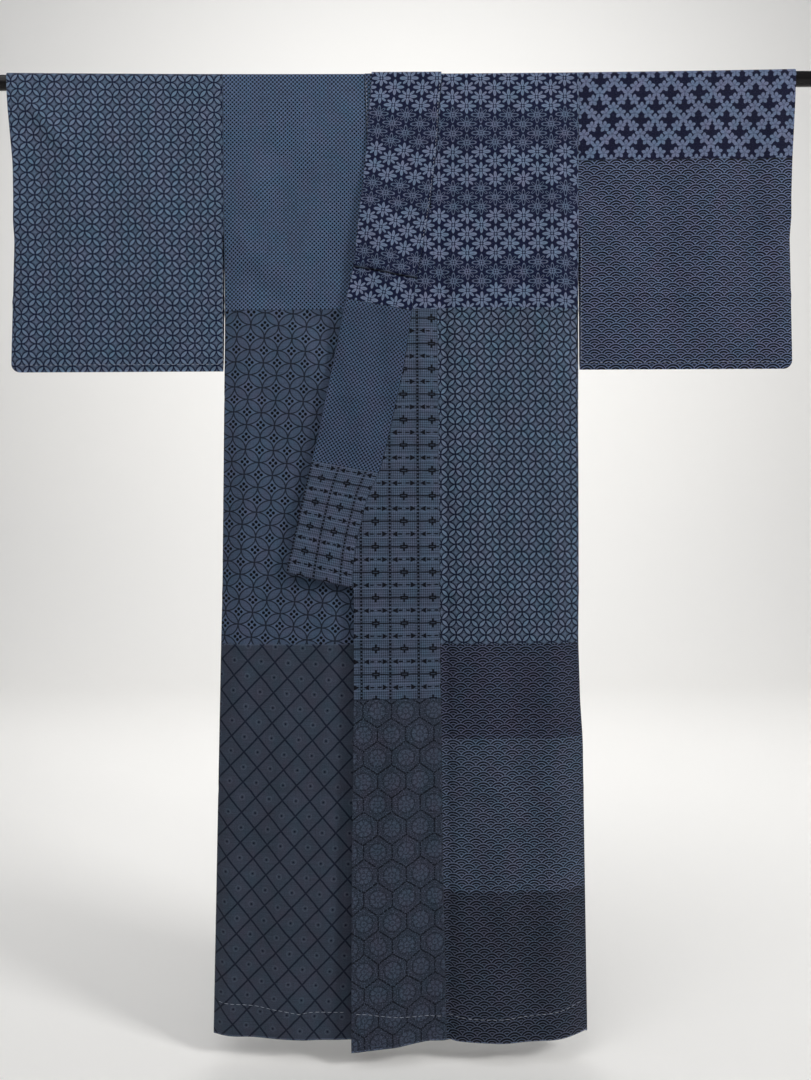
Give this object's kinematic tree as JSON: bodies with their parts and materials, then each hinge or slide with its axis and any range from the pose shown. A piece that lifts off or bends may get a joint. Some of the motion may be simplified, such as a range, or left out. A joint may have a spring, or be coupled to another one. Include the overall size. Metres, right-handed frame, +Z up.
{
  "type": "homongi kimono hung on a lacquered rod",
  "caption": "Full-length kimono with fronts closed left over right and its wide collar laid open, hung flat from a lacquered rod through both sleeves.",
  "frame": {"origin": "middle of the hanging rod's axis, where the rack holds the rod", "axes": "+X to the viewer's right along the rod, +Y from the kimono's front to its back, +Z up"},
  "size_m": [1.44, 0.0625, 1.5821],
  "materials": {
    "lacquer": "black lacquer, glossy",
    "left_body_weave": "indigo weave, matt with a soft sheen",
    "right_body_weave": "indigo weave, matt with a soft sheen",
    "left_sleeve_weave": "indigo weave, matt with a soft sheen",
    "right_sleeve_weave": "indigo weave, matt with a soft sheen",
    "okumi_weave": "indigo weave, matt with a soft sheen",
    "collar_weave": "indigo weave, matt with a soft sheen"
  },
  "bodies": {
    "root": {"rod": "lacquer", "body_left": "left_body_weave", "body_right": "right_body_weave", "sleeve_left": "left_sleeve_weave", "sleeve_right": "right_sleeve_weave", "okumi_left": "okumi_weave", "okumi_right": "okumi_weave", "collar_left": "collar_weave", "collar_right": "collar_weave", "over_collar_left": "collar_weave", "over_collar_right": "collar_weave", "over_collar_back": "collar_weave"}
  },
  "joints": []
}
